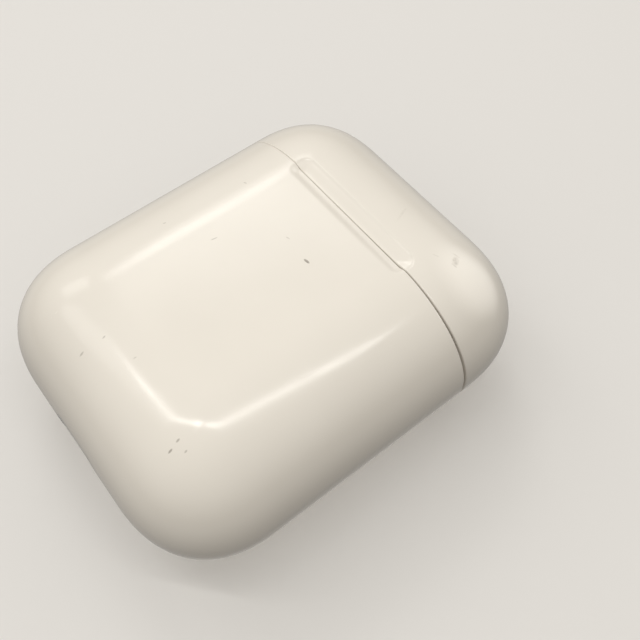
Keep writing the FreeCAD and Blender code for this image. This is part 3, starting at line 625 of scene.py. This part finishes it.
# marks on the front face as (x, y), (half length, half width), both in millimetres,
# turn in degrees and strength
FLECKS = (
    ((2.4, 5.2), (0.5, 0.2), 8, 0.85),
    ((11.5, -18.3), (0.3, 0.15), 98, 0.6),
    ((11.8, -19.5), (0.35, 0.15), 98, 0.8),
    ((12.9, -18.3), (0.25, 0.13), 98, 0.5),
    ((-4.1, -21.0), (0.4, 0.16), 98, 0.45),
    ((-3.7, -18.1), (0.28, 0.12), 98, 0.4),
    ((-6.9, -1.3), (0.5, 0.1), 80, 0.45),
    ((-12.8, -4.5), (0.25, 0.12), 70, 0.35),
    ((-11.7, 6.5), (0.3, 0.12), 20, 0.35),
    ((0.8, -16.8), (0.25, 0.1), 80, 0.35),
    ((-1.6, 5.5), (0.35, 0.1), 15, 0.35),
)
SMUDGES = (
    ((12.5, 19.1), (0.8, 0.48), 130, 0.6),
    ((11.9, 19.8), (0.6, 0.15), 20, 0.35),
    ((12.9, 18.5), (0.45, 0.14), 15, 0.45),
    ((10.8, 17.5), (0.5, 0.12), 30, 0.2),
    ((3.6, 18.6), (1.6, 0.2), 115, 0.14),
)


def strongest(nodes, spots):
    total = None
    for centre, size, turn, strength in spots:
        spot = nodes.math("MULTIPLY", mark(nodes, centre, size, turn), strength)
        total = spot if total is None else nodes.math("MAXIMUM", total, spot)
    return total


def shell_material():
    """Glossy warm-white plastic, lightly scratched, with a few dark flecks and smudges."""
    nodes = Nodes("shell_white")
    tone = nodes.span(nodes.noise(90, 3.0), 0.3, 0.7, 0, 1)
    colour = nodes.mix(tone, (0.80, 0.768, 0.715), (0.82, 0.788, 0.735))
    grain = nodes.span(nodes.noise(2600, 2.0), 0.35, 0.75, 0.55, 1)
    rubbed = nodes.span(nodes.noise(2600, 3.0), 0.35, 0.68, 0.3, 0.95)
    smudge = nodes.math("MULTIPLY", strongest(nodes, SMUDGES), rubbed)
    colour = nodes.mix(smudge, colour, (0.36, 0.32, 0.27))
    fleck = nodes.math("MULTIPLY", strongest(nodes, FLECKS), grain)
    colour = nodes.mix(fleck, colour, (0.14, 0.115, 0.085))
    nodes.join(colour, nodes.shader.inputs["Base Color"])
    lines = scratches(nodes, (12, 58, 103, 151, 77))
    haze = nodes.span(nodes.noise(260, 5.0, 0.6), 0.3, 0.75, 0.12, 0.19)
    rough = nodes.math("ADD", haze, nodes.math("MULTIPLY", lines, 0.1))
    nodes.join(rough, nodes.shader.inputs["Roughness"])
    waves = nodes.bump(nodes.noise(420, 2.0), 0.05, 0.00004)
    pores = nodes.bump(nodes.noise(2400, 3.0), 0.06, 0.00001, waves)
    normal = nodes.bump(lines, 0.06, 0.00001, pores)
    nodes.join(normal, nodes.shader.inputs["Normal"])
    nodes.set("IOR", 1.5)
    return nodes.material


def plastic(name, colour, roughness, variation=0.06, fine=700, transmission=0.0):
    """Moulded plastic with slight colour and gloss variation."""
    nodes = Nodes(name)
    darker = tuple(channel * (1 - variation) for channel in colour)
    tone = nodes.span(nodes.noise(fine / 4, 3.0), 0.3, 0.7, 0, 1)
    nodes.join(nodes.mix(tone, darker, colour), nodes.shader.inputs["Base Color"])
    gloss = nodes.span(nodes.noise(fine, 3.0), 0.3, 0.7, roughness * 0.85, roughness * 1.15)
    nodes.join(gloss, nodes.shader.inputs["Roughness"])
    nodes.join(nodes.bump(nodes.noise(fine * 4, 2.0), 0.08, 0.00001), nodes.shader.inputs["Normal"])
    nodes.set("Transmission Weight", transmission)
    return nodes.material


def metal(name, colour, roughness, grain=(60, 4000, 4000)):
    """Metal with a fine grain along one direction."""
    nodes = Nodes(name)
    streaks = nodes.noise(1.0, 4.0, 0.6, nodes.stretched(grain))
    darker = tuple(channel * 0.86 for channel in colour)
    tone = nodes.span(streaks, 0.3, 0.7, 0, 1)
    nodes.join(nodes.mix(tone, darker, colour), nodes.shader.inputs["Base Color"])
    gloss = nodes.span(streaks, 0.3, 0.7, roughness * 0.8, roughness * 1.25)
    nodes.join(gloss, nodes.shader.inputs["Roughness"])
    nodes.join(nodes.bump(streaks, 0.15, 0.00001), nodes.shader.inputs["Normal"])
    nodes.set("Metallic", 1.0)
    return nodes.material


def make_materials():
    return {
        "shell_white": shell_material(),
        "tray_white": plastic("tray_white", (0.80, 0.785, 0.75), 0.16, 0.03),
        "hinge_steel": metal("hinge_steel", (0.62, 0.61, 0.59), 0.3),
        "pin_steel": metal("pin_steel", (0.6, 0.6, 0.6), 0.25),
        "spring_steel": metal("spring_steel", (0.4, 0.4, 0.42), 0.3),
        "screw_steel": metal("screw_steel", (0.5, 0.5, 0.5), 0.32),
        "magnet_nickel": metal("magnet_nickel", (0.7, 0.68, 0.65), 0.18, (900, 900, 900)),
        "contact_gold": metal("contact_gold", (0.9, 0.68, 0.32), 0.22, (900, 900, 900)),
        "flex_amber": plastic("flex_amber", (0.55, 0.28, 0.06), 0.3),
        "light_pipe_clear": plastic("light_pipe_clear", (0.9, 0.9, 0.88), 0.35, 0.02, transmission=0.6),
        "led_yellow": plastic("led_yellow", (0.85, 0.75, 0.35), 0.4),
        "battery_wrap": plastic("battery_wrap", (0.12, 0.12, 0.13), 0.45),
        "foam_grey": plastic("foam_grey", (0.16, 0.16, 0.16), 0.9, 0.2, 1600),
        "board_green": plastic("board_green", (0.03, 0.15, 0.10), 0.35, 0.15),
        "chip_black": plastic("chip_black", (0.035, 0.035, 0.04), 0.55, 0.1),
        "shield_tin": metal("shield_tin", (0.62, 0.62, 0.6), 0.35),
        "connector_ivory": plastic("connector_ivory", (0.72, 0.67, 0.55), 0.5),
        "passive_tan": plastic("passive_tan", (0.45, 0.34, 0.22), 0.5, 0.15),
        "switch_black": plastic("switch_black", (0.05, 0.05, 0.055), 0.5),
        "port_steel": metal("port_steel", (0.6, 0.6, 0.6), 0.28),
        "socket_plastic": plastic("socket_plastic", (0.06, 0.06, 0.065), 0.5),
    }


def dress(pieces, materials):
    """Give every piece and every CAD node the material of its record slot."""
    slots = {part["node"]: part["material_slot"] for part in frame["record"]["subparts"]}
    for node, item in frame["nodes"].items():
        item.data.materials.clear()
        item.data.materials.append(materials[slots[node]])
    for piece, slot in pieces:
        piece.data.materials.clear()
        piece.data.materials.append(materials[slot])


# ---------------------------------------------------------------- stage

WARM = (1.0, 0.975, 0.93)

# the room: dark at the level of the case, brightest nearly overhead, and below it a floor
# that is almost black to matt surfaces and a dim grey to gloss
BRIGHT_SIDE = (-0.05, -0.02, 0.9985)
ROOM_STRENGTH = 1.235
ROOM_LOWEST = -0.17
ROOM_DARK = (0.10, 0.082, 0.065, 1)
ROOM_SIDE = (0.6, 0.575, 0.53, 1)
ROOM_TOP = (0.71, 0.687, 0.638, 1)
FLOOR_FOR_MATT = (0.016, 0.013, 0.01, 1)
FLOOR_FOR_GLOSS = (0.36, 0.345, 0.325, 1)

# a soft glow low down beyond the lid, which shows only in the gloss
GLOW_SIDE = (0.2, 0.92, 0.34)
GLOW_START = 0.78
GLOW_STRENGTH = 3.0
GLOW_COLOUR = (1.0, 0.97, 0.92, 1)

# what the camera sees past the floor, from its level up
HORIZON = (0.50, 0.49, 0.475, 1)
BACKDROP = (0.78, 0.77, 0.75, 1)
BACKDROP_LEVEL = 0.22

# the floor, how far it runs, and the strip of it under the hinge that drops with the lid
FLOOR_COLOUR = (0.735, 0.73, 0.73, 1)
FLOOR_REACH = 3.0
FLOOR_CLEARANCE = 0.03 * MM
LEAF_BEFORE_HINGE = 1.3 * MM
LEAF_BEYOND_HINGE = 1.4 * MM
LEAF_SIDE_INSET = 4.6 * MM

# lights that face the case: name, direction of the light from the case, vector that its
# long side lies along, distance in metres, size in metres and power in watts
LIGHTS = (
    ("strip_right", (0.0985, 0.139, 1.0), (0.78, 0.625, 0), 0.6, (0.46, 0.026), 0.45),
    ("strip_left", (-0.34, -0.235, 1.0), (0.77, 0.62, 0), 0.63, (0.33, 0.030), 0.33),
    ("haze_left", (-0.76, -0.64, 1.0), (0.7, 0.7, 0), 0.75, (0.30, 0.12), 0.16),
    ("window", (-0.65, 0.24, 0.72), (0.36, 0.93, 0), 0.7, (0.20, 0.10), 0.2),
    ("under", (0, 0, -1), (1, 0, 0), 0.8, (0.1, 0.1), 5.0),
    ("window_low", (-1.3, -0.35, 1.0), (0.5, 0.8, 0), 0.8, (0.28, 0.18), 0.26),
    ("window_glow", (-0.62, 0.32, 0.72), (0.36, 0.93, 0), 0.72, (0.28, 0.24), 0.34),
)

# the camera: its place and the point it looks at in millimetres, its lens, and its roll
# in degrees
CAMERA_PLACE = (46.94, -25.82, 98.22)
CAMERA_AIM = (4.36, 5.36, 10.65)
CAMERA_LENS = 46.16
CAMERA_SENSOR = 36
CAMERA_ROLL = -1.95
CAMERA_NEAREST = 0.005


def floor_material():
    """Pale from above and clear from below, so the underside can be looked at."""
    material = bpy.data.materials.new("floor_pale")
    material.use_nodes = True
    tree = material.node_tree
    shader = tree.nodes["Principled BSDF"]
    shader.inputs["Base Color"].default_value = FLOOR_COLOUR
    shader.inputs["Roughness"].default_value = 0.8
    shader.inputs["Specular IOR Level"].default_value = 0.1
    side = tree.nodes.new("ShaderNodeNewGeometry")
    clear = tree.nodes.new("ShaderNodeBsdfTransparent")
    mix = tree.nodes.new("ShaderNodeMixShader")
    tree.links.new(side.outputs["Backfacing"], mix.inputs["Fac"])
    tree.links.new(shader.outputs["BSDF"], mix.inputs[1])
    tree.links.new(clear.outputs["BSDF"], mix.inputs[2])
    tree.links.new(mix.outputs["Shader"], tree.nodes["Material Output"].inputs["Surface"])
    return material


def floor_leaf(name, rectangles, material):
    """Level rectangles (x, y to x, y) just under the case; the object doesn't reflect them."""
    level = cad_low.z - FLOOR_CLEARANCE
    points = []
    for x_low, y_low, x_high, y_high in rectangles:
        points += [(x_low, y_low, level), (x_high, y_low, level)]
        points += [(x_high, y_high, level), (x_low, y_high, level)]
    mesh = bpy.data.meshes.new(name)
    mesh.from_pydata(points, [], [tuple(range(start, start + 4)) for start in range(0, len(points), 4)])
    leaf = new_object(name, mesh)
    leaf.visible_glossy = False
    leaf.visible_diffuse = False
    leaf.visible_shadow = False
    mesh.materials.append(material)
    return leaf


def make_floor():
    """A pale floor; the part beyond the hinge drops away with the lid like a table leaf,
    because the opened lid hangs lower than the surface the case lies on."""
    size = FLOOR_REACH
    lid_side = HINGE.y - LEAF_BEFORE_HINGE
    leaf_edge = HINGE.y + LEAF_BEYOND_HINGE
    beside = HALF_WIDTH - LEAF_SIDE_INSET
    material = floor_material()
    near = [(-size, -size, size, lid_side)]
    near += [(-size, lid_side, -beside, leaf_edge), (beside, lid_side, size, leaf_edge)]
    floor_leaf("floor", near, material)
    far = [(-size, leaf_edge, size, size), (-beside, lid_side, beside, leaf_edge)]
    leaf = floor_leaf("floor_leaf", far, material)
    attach(leaf, "lid")


def make_world():
    """Pale to the camera; to the object a soft room above and a dim floor below,
    whose gloss reflections see the floor a little brighter."""
    world = bpy.data.worlds.new("studio")
    bpy.context.scene.world = world
    world.use_nodes = True
    tree = world.node_tree
    tree.nodes.clear()
    links = tree.links
    output = tree.nodes.new("ShaderNodeOutputWorld")
    ray = tree.nodes.new("ShaderNodeLightPath")
    place = tree.nodes.new("ShaderNodeTexCoord")

    def facing(direction):
        towards = tree.nodes.new("ShaderNodeVectorMath")
        towards.operation = "DOT_PRODUCT"
        towards.inputs[1].default_value = direction
        links.new(place.outputs["Generated"], towards.inputs[0])
        return towards.outputs["Value"]

    def glow():
        rise = tree.nodes.new("ShaderNodeMapRange")
        rise.interpolation_type = "SMOOTHSTEP"
        rise.inputs["From Min"].default_value = GLOW_START
        rise.inputs["From Max"].default_value = 1.0
        rise.inputs["To Max"].default_value = GLOW_STRENGTH
        back = tree.nodes.new("ShaderNodeBackground")
        back.inputs["Color"].default_value = GLOW_COLOUR
        links.new(facing(GLOW_SIDE), rise.inputs["Value"])
        links.new(rise.outputs["Result"], back.inputs["Strength"])
        return back.outputs["Background"]

    def room(floor_colour):
        shift = tree.nodes.new("ShaderNodeMapRange")
        shift.inputs["From Min"].default_value = ROOM_LOWEST
        shift.inputs["From Max"].default_value = 1.0
        ramp = tree.nodes.new("ShaderNodeValToRGB")
        ramp.color_ramp.elements[0].color = floor_colour
        ramp.color_ramp.elements[1].color = ROOM_TOP
        ramp.color_ramp.elements.new(0.145).color = ROOM_DARK
        ramp.color_ramp.elements.new(0.6).color = ROOM_SIDE
        back = tree.nodes.new("ShaderNodeBackground")
        back.inputs["Strength"].default_value = ROOM_STRENGTH
        links.new(facing(BRIGHT_SIDE), shift.inputs["Value"])
        links.new(shift.outputs["Result"], ramp.inputs["Fac"])
        links.new(ramp.outputs["Color"], back.inputs["Color"])
        return back.outputs["Background"]

    def choose(test, first, second):
        mix = tree.nodes.new("ShaderNodeMixShader")
        links.new(ray.outputs[test], mix.inputs["Fac"])
        links.new(first, mix.inputs[1])
        links.new(second, mix.inputs[2])
        return mix.outputs["Shader"]

    seen = tree.nodes.new("ShaderNodeBackground")
    level = tree.nodes.new("ShaderNodeSeparateXYZ")
    fade = tree.nodes.new("ShaderNodeValToRGB")
    fade.color_ramp.interpolation = "EASE"
    fade.color_ramp.elements[0].color = HORIZON
    fade.color_ramp.elements[1].color = BACKDROP
    fade.color_ramp.elements[1].position = BACKDROP_LEVEL
    links.new(place.outputs["Generated"], level.inputs["Vector"])
    links.new(level.outputs["Z"], fade.inputs["Fac"])
    links.new(fade.outputs["Color"], seen.inputs["Color"])
    reflected = tree.nodes.new("ShaderNodeAddShader")
    links.new(room(FLOOR_FOR_GLOSS), reflected.inputs[0])
    links.new(glow(), reflected.inputs[1])
    lighting = choose("Is Glossy Ray", room(FLOOR_FOR_MATT), reflected.outputs["Shader"])
    links.new(choose("Is Camera Ray", lighting, seen.outputs["Background"]), output.inputs["Surface"])


def area_light(name, direction, along, distance, size, power):
    """A rectangular light that faces the case, its long side lying along a vector."""
    light = bpy.data.lights.new(name, "AREA")
    light.shape = "RECTANGLE"
    light.size, light.size_y = size
    light.energy = power
    light.color = WARM
    lamp = new_object(name, light)
    back = Vector(direction).normalized()
    side = Vector(along)
    side = (side - back * side.dot(back)).normalized()
    turn = Matrix((side, back.cross(side), back)).transposed()
    lamp.location = Vector((0, 0, MIDDLE)) + back * distance
    lamp.rotation_mode = "QUATERNION"
    lamp.rotation_quaternion = turn.to_quaternion()
    return lamp


def make_lights():
    """All the lights; the one underneath doesn't show in the gloss."""
    for name, direction, along, distance, size, power in LIGHTS:
        lamp = area_light(name, direction, along, distance, size, power)
        lamp.visible_glossy = name != "under"


def make_camera():
    """Close above the case, looking along it from the right of its lower end."""
    camera_data = bpy.data.cameras.new("camera")
    camera_data.sensor_width = CAMERA_SENSOR
    camera_data.lens = CAMERA_LENS
    camera_data.clip_start = CAMERA_NEAREST
    camera = new_object("camera", camera_data)
    place = Vector(CAMERA_PLACE) * MM
    aim = Vector(CAMERA_AIM) * MM
    roll = math.radians(CAMERA_ROLL)
    looking = (aim - place).to_track_quat("-Z", "Y").to_matrix().to_4x4()
    camera.location = place
    camera.rotation_mode = "QUATERNION"
    camera.rotation_quaternion = (looking @ Matrix.Rotation(roll, 4, "Z")).to_quaternion()
    bpy.context.scene.camera = camera


make_camera()
pieces = [
    (make_body_shell(), "shell_white"),
    (make_lid_shell(), "shell_white"),
    (fitted_copy("tray_plate", "charging_tray", "case", "tray_white", WALL), "tray_white"),
    (fitted_copy("left_well_cup", "left_well", "case", "tray_white", WALL), "tray_white"),
    (fitted_copy("right_well_cup", "right_well", "case", "tray_white", WALL), "tray_white"),
    (fitted_copy("lid_liner_skin", "lid_liner", "lid", "tray_white", WALL), "tray_white"),
    (trimmed_copy("outer_hinge_strip", "hinge_body_leaf", "case", "hinge_steel"), "hinge_steel"),
    (trimmed_copy("inner_hinge_strip", "hinge_lid_leaf", "lid", "hinge_steel"), "hinge_steel"),
    (trimmed_copy("hinge_pin_rod", "hinge_pin", "case", "pin_steel"), "pin_steel"),
    (make_button(), "shell_white"),
    (make_port_bezel(), "port_steel"),
]
dress(pieces, make_materials())
make_floor()
make_world()
make_lights()
bpy.context.scene.view_settings.view_transform = "Standard"
